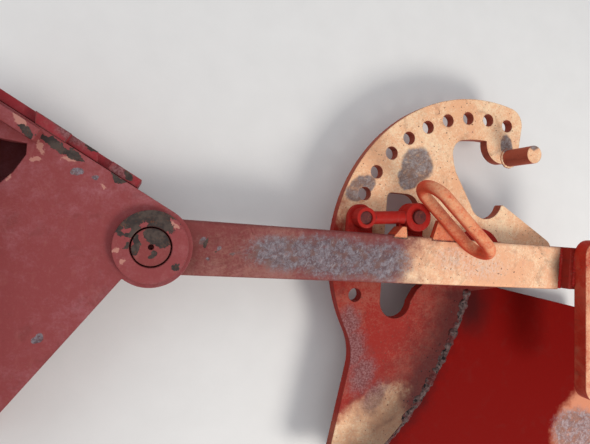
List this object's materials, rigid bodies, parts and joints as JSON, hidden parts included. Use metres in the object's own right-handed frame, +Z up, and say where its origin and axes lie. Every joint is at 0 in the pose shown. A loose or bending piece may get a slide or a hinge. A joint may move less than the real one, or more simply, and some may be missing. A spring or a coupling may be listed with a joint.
{
  "type": "plough press arm",
  "caption": "Swing arm on a flanged clevis bracket with a turning, lockable catch plate whose hook and guide sheet pick up a furrow press.",
  "frame": {"origin": "centre of the four flange bolt holes, on the flange's back face, which bears on the plough's beam", "axes": "+X away from the flange along the arm at rest, +Z up, +Y across, towards the side that the hook opens to"},
  "size_m": [0.91, 0.538, 0.17],
  "materials": {
    "red_paint": "weathered red paint, chalked and worn through in patches",
    "worn_steel": "dull steel with worn paint and light rust",
    "weld": "rough weld bead with burnt paint"
  },
  "bodies": {
    "bracket": {"flange": "red_paint", "upper_cheek": "red_paint", "lower_cheek": "red_paint", "upper_ring": "red_paint", "lower_ring": "red_paint", "side_web": "red_paint", "web_packer": "red_paint", "inner_web": "red_paint", "cheek_rib": "red_paint", "hinge_pin": "worn_steel", "pin_collar": "worn_steel"},
    "arm": {"arm_bar": "red_paint", "end_riser": "red_paint", "end_strap": "red_paint", "loop_handle": "red_paint", "loop_foot": "red_paint", "lock_lug": "red_paint", "lock_sleeve": "red_paint", "tie_rod": "red_paint", "keeper_lug": "red_paint", "keeper_post": "worn_steel", "keeper_eye": "red_paint", "keeper_gusset": "red_paint", "swivel_spacer": "worn_steel", "swivel_stud": "worn_steel", "swivel_washer": "worn_steel", "swivel_nut": "worn_steel"},
    "catcher": {"catch_plate": "red_paint", "hook_peg": "red_paint", "guide_sheet": "red_paint", "weld_bead": "weld"},
    "latch": {"lock_pin": "worn_steel"}
  },
  "joints": [
    {"name": "arm_swing", "type": "hinge", "parent": "bracket", "child": "arm", "pos_m": [0.19, 0.04, 0], "axis": [0, 0, 1], "range_deg": [-60, 60]},
    {"name": "catcher_turn", "type": "hinge", "parent": "arm", "child": "catcher", "pos_m": [0.648, 0.05, 0], "axis": [0, 0, 1], "range_deg": [-30, 60]},
    {"name": "latch_lift", "type": "slide", "parent": "arm", "child": "latch", "axis": [0, 0, 1], "range_m": [-0.012, 0]}
  ]
}
